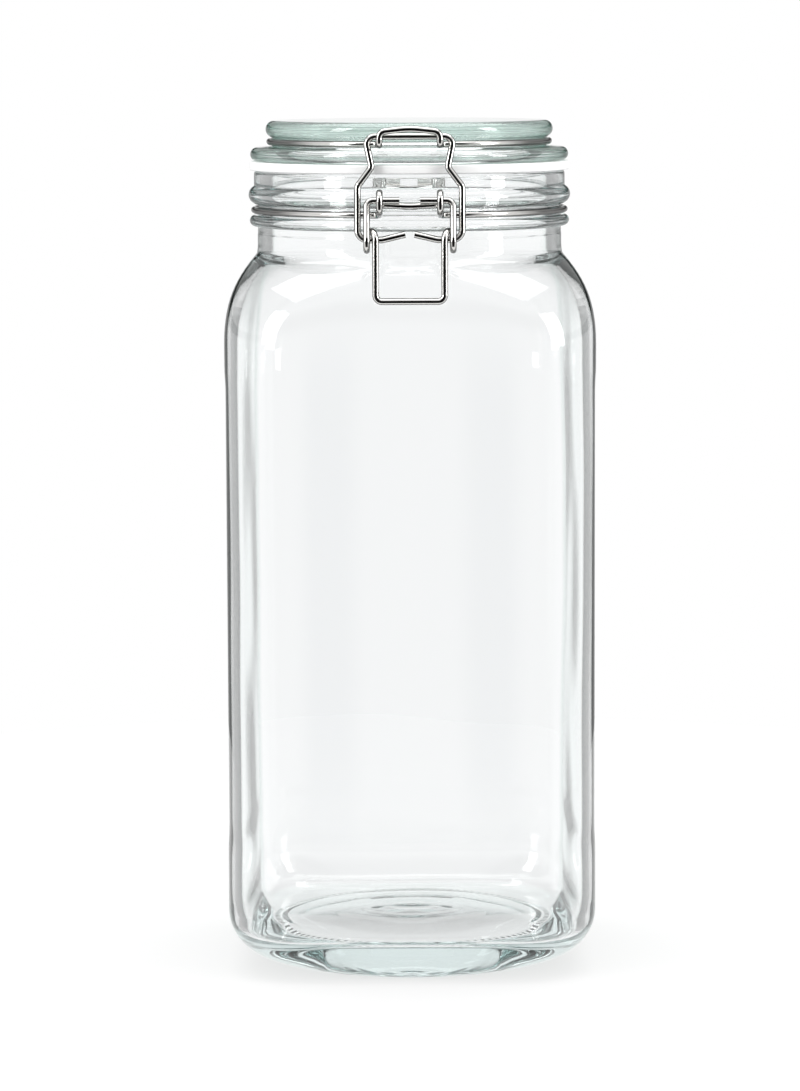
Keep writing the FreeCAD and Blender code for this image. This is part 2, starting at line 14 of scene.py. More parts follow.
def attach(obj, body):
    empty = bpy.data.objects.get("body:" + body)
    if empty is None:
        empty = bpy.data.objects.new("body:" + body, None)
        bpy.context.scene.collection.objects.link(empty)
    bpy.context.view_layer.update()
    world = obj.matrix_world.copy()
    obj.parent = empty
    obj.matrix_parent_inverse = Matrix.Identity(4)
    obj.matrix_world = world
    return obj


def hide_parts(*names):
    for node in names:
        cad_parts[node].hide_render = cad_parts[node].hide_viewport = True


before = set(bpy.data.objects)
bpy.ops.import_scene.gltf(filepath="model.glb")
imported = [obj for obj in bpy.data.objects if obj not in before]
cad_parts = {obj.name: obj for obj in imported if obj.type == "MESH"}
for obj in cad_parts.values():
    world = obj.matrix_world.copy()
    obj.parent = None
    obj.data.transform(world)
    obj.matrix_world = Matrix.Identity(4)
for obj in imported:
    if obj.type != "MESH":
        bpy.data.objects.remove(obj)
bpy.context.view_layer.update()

# ---- sizes, in millimetres, as in the part's source ----------------------------------------------------
MM = 0.001
BODY_WIDTH = 112.6          # across the flats
CORNER_RADIUS = 25.0        # vertical corners of the body
BODY_HEIGHT = 218.0         # base to the foot of the neck
WALL = 3.4
FLOOR = 11.0                # glass under the contents, at the edge of the floor
FLOOR_CROWN = 2.4           # rise of the floor at its middle
PUSH_UP = 4.2               # hollow under the base
PUSH_UP_STEP = 1.2          # steep part of it, at the bearing ring
PUSH_UP_SLOPE = 1.6         # how far in that part reaches
HEEL_HEIGHT = 18.5
SHOULDER_HEIGHT = 26.0
BASE_RADIUS = 45.5          # where the heel meets the bearing ring
BEARING_WIDTH = 4.0
PANEL_RECESS = 0.3          # sides set back between the heel band and the shoulder band
HEEL_BAND = 20.0
SHOULDER_BAND = 8.0
PANEL_BLEND = 5.0
HEEL_BEND = 0.62            # height of the heel curve's upper control point, as a share of the heel's
HEEL_FOOT_OUT = 5.5         # its lower control point, out from the bearing ring and up
HEEL_FOOT_UP = 2.2
SHOULDER_BEND = 11.0        # outer control point of the shoulder curve, below its top
SHOULDER_TOP_OUT = 4.5      # its inner control point, out from its top and down
SHOULDER_TOP_DOWN = 5.5
INNER_SHOULDER_DROP = 1.0   # foot of the inner shoulder below the foot of the outer one
FLOOR_HEIGHT = 13.0         # inside, from the floor up to the straight wall
FLOOR_REACH = 6.4           # inside, from the straight wall in to the floor's edge
FLOOR_FOOT_OUT = 4.0        # control points of the curve between them
FLOOR_FOOT_UP = 2.5
FLOOR_CORNER_LESS = 1.0     # the floor's corners are this much tighter than the wall's
CROWN_REACH = 16.0          # inside, from the wall in to the foot of the crown

MOUTH_RADIUS = 42.3
NECK_WALL = 4.35            # below the beads
NECK_STEP = 0.1             # the body's own glass stands proud under the neck mould's parting line
NECK_FOOT = 6.0             # foot of the neck to that parting line
NECK_FLARE = 0.3            # the foot spreads this far into the shoulder
MOUTH_FLARE = 0.8           # and the mouth this far into the space below
FLARE_HEIGHT = 3.2
FLARE_BOW_OUT = 0.26        # middle of a flare's arc, as shares of its spread and height
FLARE_BOW_UP = 0.47
THROAT_DROP = 1.5           # foot of the mouth below the foot of the neck
NECK_RECESS = 2.4           # parting line to the lower bead
LOWER_BEAD_HEIGHT = 3.2
LOWER_BEAD_PROUD = 2.5
LOWER_BEAD_WIDEST = 0.58    # share of its height at which a bead stands out most
WIRE_GROOVE = 3.3           # groove between the beads
UPPER_BEAD_HEIGHT = 5.7
UPPER_BEAD_PROUD = 2.65
UPPER_BEAD_WIDEST = 0.34
COLLAR_HEIGHT = 4.8         # plain collar between the upper bead and the rim
COLLAR_PROUD = 1.15
RIM_ROUND = 1.2

SEAL_THICKNESS = 2.7
SEAL_WIDTH = 7.2
SEAL_LAP = 0.4              # the seal reaches this far into the mouth
SEAL_SHOWS = 0.2            # and this far out past the lid's flange
SEAL_ROUND = 0.45
FLANGE_THICKNESS = 4.8
FLANGE_FALL = 0.5           # its top slopes down outwards
FLANGE_FOOT = 0.75          # its edge's arc, as shares of half the thickness: inset of the foot
FLANGE_WIDEST = 0.88        # and height at which it stands out most
LID_GROOVE = 2.4
LID_GROOVE_DEPTH = 2.35     # from the edge of the disc in to the bottom of the wire groove
DISC_THICKNESS = 5.2
DISC_SET_BACK = 4.75        # edge of the disc inside the edge of the flange
PLUG_PLAY = 1.1             # around the ring under the lid that centres it in the mouth
PLUG_DEPTH = 4.1
PLUG_WALL = 2.6
PLUG_DRAFT = 0.3
PLUG_CHAMFER = 1.0
HOLLOW_DRAFT = 1.6
HOLLOW_ROUND = 4.0
LID_GLASS = 5.6             # glass over the hollow under the lid

HALF = BODY_WIDTH / 2
NECK_RADIUS = MOUTH_RADIUS + NECK_WALL
LOWER_BEAD_RADIUS = NECK_RADIUS + LOWER_BEAD_PROUD
UPPER_BEAD_RADIUS = NECK_RADIUS + UPPER_BEAD_PROUD
COLLAR_RADIUS = NECK_RADIUS + COLLAR_PROUD
SEAL_RADIUS = MOUTH_RADIUS - SEAL_LAP + SEAL_WIDTH
FLANGE_RADIUS = SEAL_RADIUS - SEAL_SHOWS
DISC_RADIUS = FLANGE_RADIUS - DISC_SET_BACK
LID_GROOVE_RADIUS = DISC_RADIUS - LID_GROOVE_DEPTH
PLUG_RADIUS = MOUTH_RADIUS - PLUG_PLAY

SHOULDER_Z = BODY_HEIGHT - SHOULDER_HEIGHT
STEP_Z = BODY_HEIGHT + NECK_FOOT
LOWER_BEAD_Z = STEP_Z + NECK_RECESS
GROOVE_Z = LOWER_BEAD_Z + LOWER_BEAD_HEIGHT
UPPER_BEAD_Z = GROOVE_Z + WIRE_GROOVE
COLLAR_Z = UPPER_BEAD_Z + UPPER_BEAD_HEIGHT
RIM_Z = COLLAR_Z + COLLAR_HEIGHT
FLANGE_Z = RIM_Z + SEAL_THICKNESS
LID_GROOVE_Z = FLANGE_Z + FLANGE_THICKNESS
DISC_Z = LID_GROOVE_Z + LID_GROOVE
TOP_Z = DISC_Z + DISC_THICKNESS

# ---- fineness of the meshes, in millimetres where not said otherwise -----------------------------------
AROUND = 280                # points round every glass ring, a multiple of 8
CURVE_ROWS = 120
DOME_ROWS = 80
STRAIGHT_ROWS = 60
FLAT_ROWS = 40
ARC_STEPS = 32
QUARTER_POINTS = 13
ROUND_STEP = 0.12           # between the rows of a round wall, before they are evened
FINE_STEP = 0.08            # between the samples that evening works on
SAME_PLACE = 1e-6           # rows closer than this are one row
FEWEST_ROWS = 8
CORNER_EASE = 3.0           # degrees over which the flats ease into the corners
CORNER_EASE_POINTS = 9      # and the points to each side that take part
ALL_BUT_ROUND = 0.05        # a section whose flats are under this share of its half width is left as it is
AXIS_GAP = 0.4              # radius of the innermost ring of points about the axis

ANGLES = np.arange(AROUND) * (2 * math.pi / AROUND)


# ---- profiles: rows of (half width, corner radius, height) ---------------------------------------------
def cubic(p0, p1, p2, p3, t):
    s = 1 - t
    return (s ** 3 * np.array(p0) + 3 * s * s * t * np.array(p1)
            + 3 * s * t * t * np.array(p2) + t ** 3 * np.array(p3))


def blend_rows(curve, start_corner, end_corner):
    """Rows along a cubic in (half width, height), the corner radius going from one value to the other."""
    start, end = curve[0][0], curve[3][0]
    rows = []
    for t in np.linspace(0, 1, CURVE_ROWS):
        half, z = cubic(*curve, t)
        share = (half - end) / (start - end)
        rows.append((half, end_corner + share * (start_corner - end_corner), z))
    return rows


def straight_rows(a, b, steps=STRAIGHT_ROWS):
    return [tuple(row) for row in np.linspace(a, b, steps)]


def round_rows(points):
    """Round rows through (radius, height) points."""
    rows = []
    for a, b in zip(points, points[1:]):
        steps = max(2, int(math.dist(a, b) / ROUND_STEP))
        rows += [(r, r, z) for r, z in np.linspace(a, b, steps)]
    return rows


def arc_points(a, b, c):
    """Points of the arc through three (radius, height) points."""
    (ax, ay), (bx, by), (cx, cy) = a, b, c
    a2, b2, c2 = (x * x + y * y for x, y in (a, b, c))
    d = 2 * (ax * (by - cy) + bx * (cy - ay) + cx * (ay - by))
    ux = (a2 * (by - cy) + b2 * (cy - ay) + c2 * (ay - by)) / d
    uy = (a2 * (cx - bx) + b2 * (ax - cx) + c2 * (bx - ax)) / d
    radius = math.hypot(ax - ux, ay - uy)
    start, middle, end = (math.atan2(y - uy, x - ux) for x, y in (a, b, c))
    sweep = (end - start) % (2 * math.pi)
    if (middle - start) % (2 * math.pi) > sweep:
        sweep -= 2 * math.pi
    turns = [start + sweep * k / ARC_STEPS for k in range(ARC_STEPS + 1)]
    return [(ux + radius * math.cos(turn), uy + radius * math.sin(turn)) for turn in turns]


def quarter(centre_r, centre_z, radius, start):
    """Points of a quarter circle, anticlockwise from the start angle in degrees."""
    turns = np.radians(np.linspace(start, start + 90, QUARTER_POINTS))
    return [(centre_r + radius * math.cos(turn), centre_z + radius * math.sin(turn)) for turn in turns]


def evened(rows, soften, reach=3.2, bend=7.0):
    """The rows with their edges softened over some millimetres and spaced by how much the profile bends.

    Two rows are at most reach millimetres apart, and the profile turns at most bend degrees between them.
    """
    rows = np.array(rows, float)
    keep = np.ones(len(rows), bool)
    keep[1:] = np.linalg.norm(np.diff(rows[:, [0, 2]], axis=0), axis=1) > SAME_PLACE
    rows = rows[keep]
    run = np.concatenate([[0], np.cumsum(np.hypot(np.diff(rows[:, 0]), np.diff(rows[:, 2])))])
    fine = np.arange(0, run[-1], FINE_STEP)
    dense = np.stack([np.interp(fine, run, rows[:, k]) for k in range(3)], 1)
    width = int(4 * soften / FINE_STEP)
    kernel = np.exp(-0.5 * (np.arange(-width, width + 1) * FINE_STEP / soften) ** 2)
    kernel /= kernel.sum()
    before = 2 * dense[0] - dense[width:0:-1]
    after = 2 * dense[-1] - dense[-2:-width - 2:-1]
    padded = np.concatenate([before, dense, after])
    dense = np.stack([np.convolve(padded[:, k], kernel, "valid") for k in range(3)], 1)
    heading = np.unwrap(np.arctan2(np.gradient(dense[:, 2]), np.gradient(dense[:, 0])))
    cost = FINE_STEP / reach + np.abs(np.gradient(heading)) / math.radians(bend)
    spent = np.concatenate([[0], np.cumsum(cost[1:])])
    at = np.linspace(0, spent[-1], max(FEWEST_ROWS, int(spent[-1])))
    return np.stack([np.interp(at, spent, dense[:, k]) for k in range(3)], 1)


def section(half, corner):
    """Radius at every angle of a rounded square, its flats and corners eased into each other."""
    middle = half - corner
    turn = np.abs((ANGLES + math.pi / 4) % (math.pi / 2) - math.pi / 4)
    cos, sin = np.cos(turn), np.sin(turn)
    inside = np.maximum(corner ** 2 - (middle * (cos - sin)) ** 2, 0)
    rounded = middle * (cos + sin) + np.sqrt(inside)
    radius = np.where(half * sin <= middle * cos, half / cos, rounded)
    if middle < ALL_BUT_ROUND * half:
        return radius
    offsets = np.arange(-CORNER_EASE_POINTS, CORNER_EASE_POINTS + 1)
    kernel = np.exp(-0.5 * (offsets * 360 / AROUND / CORNER_EASE) ** 2)
    kernel /= kernel.sum()
    eased = sum(weight * np.roll(radius, shift) for weight, shift in zip(kernel, offsets))
    return eased * (half / np.max(eased * np.abs(np.cos(turn))))


# ---- pieces --------------------------------------------------------------------------------------------
def added(name, data):
    """New object with this data, in the scene."""
    piece = bpy.data.objects.new(name, data)
    bpy.context.scene.collection.objects.link(piece)
    return piece


def skin(name, rows, swell=None, closed=True):
    """Smooth mesh through the rows, closed by a point on the axis at each end; swell moves it sideways."""
    points = []
    for index, (half, corner, z) in enumerate(rows):
        radius = section(half, min(corner, half))
        if swell is not None:
            radius = radius + swell(index, z)
        points.append(np.stack([radius * np.cos(ANGLES), radius * np.sin(ANGLES), np.full(AROUND, z)], 1))
    points = np.concatenate(points) * MM
    ring = np.arange(AROUND)
    after = (ring + 1) % AROUND
    faces = []
    for row in range(len(rows) - 1):
        low, high = row * AROUND, (row + 1) * AROUND
        faces += np.stack([low + ring, low + after, high + after, high + ring], 1).tolist()
    if closed:
        first = len(points)
        points = np.concatenate([points, [[0, 0, points[0][2]], [0, 0, points[-1][2]]]])
        end = (len(rows) - 1) * AROUND
        faces += np.stack([np.full(AROUND, first), after, ring], 1).tolist()
        faces += np.stack([np.full(AROUND, first + 1), end + ring, end + after], 1).tolist()
    mesh = bpy.data.meshes.new(name)
    mesh.from_pydata(points.tolist(), [], faces)
    mesh.shade_smooth()
    return added(name, mesh)


# ---- glass jar -----------------------------------------------------------------------------------------
FLOOR_RIPPLE = 0.14         # faint rings in the glass of the floor
RIPPLE_LENGTH = 8.0
SWELL_SEED = 7
SWELL_DEPTH = 0.16          # slow swells of the blown inner surface
SWELL_WAVES = (1, 2, 3, 5, 7)       # waves round the wall
SWELL_RATES = (0.02, 0.09)  # slowest and quickest change with height, in radians per millimetre
SWELL_DRIFT = 0.6           # how far a wave wanders sideways as it climbs, in radians
SWELL_FOOT = 4.0            # the swells begin this far above the floor
SWELL_FOOT_FADE = 20.0
SWELL_HEAD = 6.0            # and end this far below the foot of the neck
SWELL_HEAD_FADE = 16.0


def flare_points(radius, z, spread):
    """From a round wall's spread foot at height z up to its own radius."""
    middle = (radius + spread * FLARE_BOW_OUT, z + FLARE_HEIGHT * FLARE_BOW_UP)
    return arc_points((radius + spread, z), middle, (radius, z + FLARE_HEIGHT))


def shoulder_rows(half, corner, z, top, top_z):
    curve = ((half, z), (half, top_z - SHOULDER_BEND),
             (top + SHOULDER_TOP_OUT, top_z - SHOULDER_TOP_DOWN), (top, top_z))
    return blend_rows(curve, corner, top)


def jar_outside():
    """Hollow under the base, bearing ring and heel; banded sides; shoulder."""
    edge = BASE_RADIUS - BEARING_WIDTH
    foot = edge - PUSH_UP_SLOPE
    rise = PUSH_UP - PUSH_UP_STEP
    radii = np.linspace(AXIS_GAP, foot, DOME_ROWS)
    dome = [(r, PUSH_UP_STEP + rise * (1 - (r / foot) ** 2)) for r in radii]
    base = round_rows(dome + [(edge, 0), (BASE_RADIUS, 0)])
    heel_curve = ((HALF, HEEL_HEIGHT), (HALF, HEEL_HEIGHT * HEEL_BEND),
                  (BASE_RADIUS + HEEL_FOOT_OUT, HEEL_FOOT_UP), (BASE_RADIUS, 0))
    heel = blend_rows(heel_curve, CORNER_RADIUS, BASE_RADIUS)[::-1]
    panel = (HALF - PANEL_RECESS, CORNER_RADIUS - PANEL_RECESS)
    low = HEEL_HEIGHT + HEEL_BAND
    high = SHOULDER_Z - SHOULDER_BAND
    lower_band = straight_rows((HALF, CORNER_RADIUS, HEEL_HEIGHT), (HALF, CORNER_RADIUS, low))
    panels = straight_rows((*panel, low + PANEL_BLEND), (*panel, high - PANEL_BLEND))
    upper_band = straight_rows((HALF, CORNER_RADIUS, high), (HALF, CORNER_RADIUS, SHOULDER_Z))
    top = NECK_RADIUS + NECK_STEP + NECK_FLARE
    shoulder = shoulder_rows(HALF, CORNER_RADIUS, SHOULDER_Z, top, BODY_HEIGHT)
    return base + heel, lower_band + panels + upper_band, shoulder


def neck_rows():
    """Flared foot, parting step, two beads with the wire's groove between, collar and rim."""
    foot = NECK_RADIUS + NECK_STEP
    lower_widest = (LOWER_BEAD_RADIUS, LOWER_BEAD_Z + LOWER_BEAD_HEIGHT * LOWER_BEAD_WIDEST)
    upper_widest = (UPPER_BEAD_RADIUS, UPPER_BEAD_Z + UPPER_BEAD_HEIGHT * UPPER_BEAD_WIDEST)
    points = flare_points(foot, BODY_HEIGHT, NECK_FLARE)
    points += [(foot, STEP_Z), (NECK_RADIUS, STEP_Z + NECK_STEP), (NECK_RADIUS, LOWER_BEAD_Z)]
    points += arc_points((NECK_RADIUS, LOWER_BEAD_Z), lower_widest, (NECK_RADIUS, GROOVE_Z))
    points += [(NECK_RADIUS, UPPER_BEAD_Z)]
    points += arc_points((NECK_RADIUS, UPPER_BEAD_Z), upper_widest, (COLLAR_RADIUS, COLLAR_Z))
    points += quarter(COLLAR_RADIUS - RIM_ROUND, RIM_Z - RIM_ROUND, RIM_ROUND, 0)
    points += quarter(MOUTH_RADIUS + RIM_ROUND / 2, RIM_Z - RIM_ROUND / 2, RIM_ROUND / 2, 90)
    return round_rows(points)


def jar_inside():
    """Mouth; shoulder; sides and the curve into the floor; floor with its crown."""
    half = HALF - PANEL_RECESS - WALL
    corner = CORNER_RADIUS - PANEL_RECESS - WALL
    floor_half = half - FLOOR_REACH
    floor_corner = corner - FLOOR_CORNER_LESS
    low = FLOOR + FLOOR_HEIGHT
    high = SHOULDER_Z - INNER_SHOULDER_DROP
    top_z = BODY_HEIGHT - THROAT_DROP
    throat = flare_points(MOUTH_RADIUS, top_z, MOUTH_FLARE)[::-1]
    mouth = round_rows([(MOUTH_RADIUS, RIM_Z - RIM_ROUND)] + throat)
    shoulder = shoulder_rows(half, corner, high, MOUTH_RADIUS + MOUTH_FLARE, top_z)[::-1]
    sides = straight_rows((half, corner, high), (half, corner, low))
    floor_curve = ((half, low), (half, FLOOR + FLOOR_FOOT_UP),
                   (floor_half + FLOOR_FOOT_OUT, FLOOR), (floor_half, FLOOR))
    edge = HALF - WALL - CROWN_REACH
    flat = straight_rows((floor_half, floor_corner, FLOOR), (edge, edge, FLOOR), FLAT_ROWS)
    crown = []
    for r in np.linspace(edge, AXIS_GAP, CURVE_ROWS):
        ripple = FLOOR_RIPPLE * math.sin(2 * math.pi * r / RIPPLE_LENGTH) * (1 - r / edge)
        crown.append((r, r, FLOOR + FLOOR_CROWN * (1 - (r / edge) ** 2) + ripple))
    return mouth, shoulder, sides + blend_rows(floor_curve, corner, floor_corner), flat + crown


def wall_swell(first_inner):
    """Slow swells of the blown inner surface, in millimetres; they fade out at the floor and the neck."""
    rng = np.random.default_rng(SWELL_SEED)
    waves = [(k, rng.uniform(*SWELL_RATES), *rng.uniform(0, 2 * math.pi, 2)) for k in SWELL_WAVES]

    def swell(index, z):
        if index < first_inner:
            return 0
        total = 1
        for k, rate, phase, rise in waves:
            around = np.sin(k * ANGLES + phase + SWELL_DRIFT * math.sin(rate * z))
            total = total + around * math.sin(rate * z + rise) / (0.6 + 0.4 * k)    # short waves are lower
        low = np.clip((z - FLOOR - SWELL_FOOT) / SWELL_FOOT_FADE, 0, 1)
        high = np.clip((BODY_HEIGHT - SWELL_HEAD - z) / SWELL_HEAD_FADE, 0, 1)
        return -SWELL_DEPTH * low * high * total

    return swell


def glass_jar():
    """The whole surface: outside from the axis under the base to the rim, then inside down to the floor."""
    heel, sides, shoulder = jar_outside()
    mouth, inner_shoulder, inner_sides, floor = jar_inside()
    outside = np.concatenate([
        evened(heel, soften=0.35),
        evened(sides, soften=1.2)[1:],
        evened(shoulder, soften=0.6)[1:-1],
        evened(neck_rows() + mouth, soften=0.16, bend=9.0),
    ])
    inside = np.concatenate([
        evened(inner_shoulder, soften=0.6)[1:],
        evened(inner_sides, soften=0.8)[1:],
        evened(floor, soften=0.8)[1:],
    ])
    return skin("jar_glass_skin", np.concatenate([outside, inside]), wall_swell(len(outside)))


# ---- glass lid -----------------------------------------------------------------------------------------
def glass_lid():
    """Hollow, plug ring, flange, wire groove and disc, from the axis below to the axis on top."""
    disc_round = DISC_THICKNESS / 2
    disc_flat = DISC_RADIUS - disc_round
    flange_round = FLANGE_THICKNESS / 2
    flange_foot = (FLANGE_RADIUS - flange_round * FLANGE_FOOT, FLANGE_Z)
    flange_widest = (FLANGE_RADIUS, FLANGE_Z + flange_round * FLANGE_WIDEST)
    flange_top = (FLANGE_RADIUS - flange_round, LID_GROOVE_Z - FLANGE_FALL)
    plug_z = FLANGE_Z - PLUG_DEPTH
    plug_side = PLUG_RADIUS - PLUG_DRAFT
    hollow_foot = PLUG_RADIUS - PLUG_WALL
    hollow_side = hollow_foot - HOLLOW_DRAFT
    hollow_z = TOP_Z - LID_GLASS
    points = [(AXIS_GAP, hollow_z)]
    points += quarter(hollow_side - HOLLOW_ROUND, hollow_z - HOLLOW_ROUND, HOLLOW_ROUND, 0)[::-1]
    points += [(hollow_foot, plug_z), (plug_side - PLUG_CHAMFER, plug_z)]
    points += [(plug_side, plug_z + PLUG_CHAMFER), (PLUG_RADIUS, FLANGE_Z)]
    points += arc_points(flange_foot, flange_widest, flange_top)
    points += [(LID_GROOVE_RADIUS, LID_GROOVE_Z)]
    points += arc_points((disc_flat, DISC_Z), (DISC_RADIUS, TOP_Z - disc_round), (disc_flat, TOP_Z))
    points += [(AXIS_GAP, TOP_Z)]
    return skin("lid_glass_skin", evened(round_rows(points), soften=0.18, reach=2.4, bend=9.0))


# ---- rubber seal ---------------------------------------------------------------------------------------
def seal_ring():
    """Flat ring with four rounded edges."""
    inner = SEAL_RADIUS - SEAL_WIDTH + SEAL_ROUND
    outer = SEAL_RADIUS - SEAL_ROUND
    low = RIM_Z + SEAL_ROUND
    high = FLANGE_Z - SEAL_ROUND
    loop = []
    for start, r, z in ((-90, outer, low), (0, outer, high), (90, inner, high), (180, inner, low)):
        loop += quarter(r, z, SEAL_ROUND, start)
    rows = [(r, r, z) for r, z in loop + loop[:1]]
    return skin("rubber_seal", rows, closed=False)


# ---- materials -----------------------------------------------------------------------------------------
class Shading:
    """A node tree, with short calls for the nodes that the materials and the world share."""

    def __init__(self, tree):
        self.nodes, self.links = tree.nodes, tree.links

    def node(self, kind):
        return self.nodes.new("ShaderNode" + kind)

    def put(self, value, socket):
        """Link the value to the socket if it comes from a node, or set it there."""
        if isinstance(value, bpy.types.NodeSocket):
            self.links.new(value, socket)
        else:
            socket.default_value = value

    def place(self, coordinates="Object"):
        return self.node("TexCoord").outputs[coordinates]

    def parts(self, vector):
        """X, Y and Z of a vector."""
        node = self.node("SeparateXYZ")
        self.links.new(vector, node.inputs["Vector"])
        return node.outputs["X"], node.outputs["Y"], node.outputs["Z"]

    def calc(self, operation, *values):
        node = self.node("Math")
        node.operation = operation
        for value, socket in zip(values, node.inputs):
            self.put(value, socket)
        return node.outputs["Value"]

    def ramp(self, value, stops):
        """Grey level as a function of the value, which runs from 0 to 1."""
        node = self.node("ValToRGB")
        node.color_ramp.interpolation = "EASE"
        elements = node.color_ramp.elements
        while len(elements) > 1:
            elements.remove(elements[-1])
        elements[0].position, level = stops[0]
        elements[0].color = (level, level, level, 1)
        for position, level in stops[1:]:
            elements.new(position).color = (level, level, level, 1)
        self.links.new(value, node.inputs["Fac"])
        return node.outputs["Color"]

    def turned_away(self):
        """How far the surface is turned from the ray, from 0 face on to 1 edge on."""
        node = self.node("LayerWeight")
        node.inputs["Blend"].default_value = 0.5
        return node.outputs["Facing"]

    def noise(self, scale, detail=2.0):
        node = self.node("TexNoise")
        node.inputs["Scale"].default_value = scale
        node.inputs["Detail"].default_value = detail
        self.links.new(self.place(), node.inputs["Vector"])
        return node.outputs["Fac"]

    def mixed(self, share, a, b, blend_type="MIX"):
        """Colour from a to b by the share."""
        node = self.node("Mix")
        node.data_type = "RGBA"
        node.blend_type = blend_type
        self.put(share, node.inputs["Factor"])
        self.put(a, node.inputs["A"])
        self.put(b, node.inputs["B"])
        return node.outputs["Result"]

    def spread(self, value, low, high):
        """The value's range from 0 to 1 laid over low to high."""
        node = self.node("MapRange")
        node.inputs["To Min"].default_value = low
        node.inputs["To Max"].default_value = high
        self.links.new(value, node.inputs["Value"])
        return node.outputs["Result"]

    def bump(self, height, strength, distance, under=None):
        """Normal bumped by the height, on top of another bump where one is given."""
        node = self.node("Bump")
        node.inputs["Strength"].default_value = strength
        node.inputs["Distance"].default_value = distance
        self.links.new(height, node.inputs["Height"])
        if under is not None:
            self.links.new(under, node.inputs["Normal"])
        return node.outputs["Normal"]

    def chosen(self, share, no, yes):
        """One shader or the other by the share."""
        node = self.node("MixShader")
        self.links.new(share, node.inputs["Fac"])
        self.links.new(no, node.inputs[1])
        self.links.new(yes, node.inputs[2])
        return node.outputs["Shader"]


def new_material(name):
    material = bpy.data.materials.new(name)
    material.use_nodes = True
    shading = Shading(material.node_tree)
    return material, shading, shading.nodes["Principled BSDF"], shading.nodes["Material Output"]


TINT_DENSITY = 7.0
JAR_TINT = (0.55, 0.71, 0.70, 1)
LID_TINT = (0.42, 0.70, 0.61, 1)
# Painted shade: a darker tint painted into the glass's colour where it turns away from the ray, standing in
# for the dark studio mirrored at its edges; and where that begins and is whole, from 0 face on to 1 edge
# on.
JAR_EDGE_SHADE = (0.66, 0.77, 0.74, 1)
LID_EDGE_SHADE = (0.16, 0.32, 0.27, 1)
JAR_EDGE_SHADE_FROM = 0.65
LID_EDGE_SHADE_FROM = 0.4
EDGE_SHADE_FULL = 0.97
GLASS_TONE = (0.990, 0.992, 0.994, 1)
# Painted reflection: tone of the darker stripes painted into the walls.
PAINTED_REFLECTION_TONE = (0.966, 0.970, 0.974, 1)
SHADOW_TONE = (0.9, 0.93, 0.915, 1)     # what the glass lets through into its shadow
# Painted dark reflection: the black laid on the inner side of upright glass.
DARK_REFLECTION_TONE = (0.03, 0.05, 0.045, 1)
# Painted reflection: darker upright stripes painted into the four walls' colour for the studio's darker
# parts mirrored in them, by the distance from a wall's middle as a share of the half width, and where they
# fade out, by height as a share of the whole.
PAINTED_REFLECTION_STRIPES = ((0.0, 0.1), (0.22, 0.15), (0.4, 1.0), (0.52, 1.0), (0.66, 0.0), (1.0, 0.0))
PAINTED_REFLECTION_LEVELS = ((0.0, 0.0), (0.1, 0.0), (0.2, 1.0), (0.66, 1.0), (0.8, 0.0), (1.0, 0.0))
# Short grip marks round the underside of the bearing ring, in millimetres.
GRIP_MARKS = 110
GRIP_HEIGHT = 0.8
GRIP_RADIUS = 43.7
GRIP_WIDTH = 1.8
# Share of painted black, a painted dark reflection on the inner side of the glass where it turns just past
# the angle at which light fails to leave, by how far the surface is turned from the ray, and how fully by
# how level the surface is, from 0 for upright ones to 1 for level ones.
DARK_REFLECTION = ((0.0, 0.0), (0.238, 0.0), (0.25, 0.6), (0.29, 0.5), (0.32, 0.0), (1.0, 0.0))
DARK_REFLECTION_ON = ((0.0, 1.0), (0.3, 1.0), (0.6, 0.0))


def painted_reflection_share(shading, x, y, z):
    """Share of the painted reflection stripes in the walls' colour."""
    across = shading.calc("MINIMUM", shading.calc("ABSOLUTE", x), shading.calc("ABSOLUTE", y))
    stripes = shading.ramp(shading.calc("DIVIDE", across, HALF * MM), PAINTED_REFLECTION_STRIPES)
    level = shading.ramp(shading.calc("DIVIDE", z, TOP_Z * MM), PAINTED_REFLECTION_LEVELS)
    return shading.calc("MULTIPLY", stripes, level)


def grip_marks(shading, x, y, z):
    """Height of the marks round the bearing ring."""
    turn = shading.calc("ARCTAN2", y, x)
    teeth = shading.calc("SINE", shading.calc("MULTIPLY", turn, GRIP_MARKS))
    squares = shading.calc("ADD", shading.calc("MULTIPLY", x, x), shading.calc("MULTIPLY", y, y))
    out = shading.calc("POWER", squares, 0.5)
    in_ring = shading.calc("COMPARE", out, GRIP_RADIUS * MM, GRIP_WIDTH * MM / 2)
    at_base = shading.calc("MULTIPLY", shading.calc("LESS_THAN", z, GRIP_HEIGHT * MM), in_ring)
    return shading.calc("MULTIPLY", teeth, at_base)


def painted_dark_reflection(shading, turned_away):
    """Share of painted black on the inner side of upright glass: a painted dark reflection where light just
    fails to leave.
    """
    geometry = shading.node("NewGeometry")
    level = shading.calc("ABSOLUTE", shading.parts(geometry.outputs["True Normal"])[2])
    dark_share = shading.calc("MULTIPLY", shading.ramp(turned_away, DARK_REFLECTION), geometry.outputs["Backfacing"])
    return shading.calc("MULTIPLY", dark_share, shading.ramp(level, DARK_REFLECTION_ON))


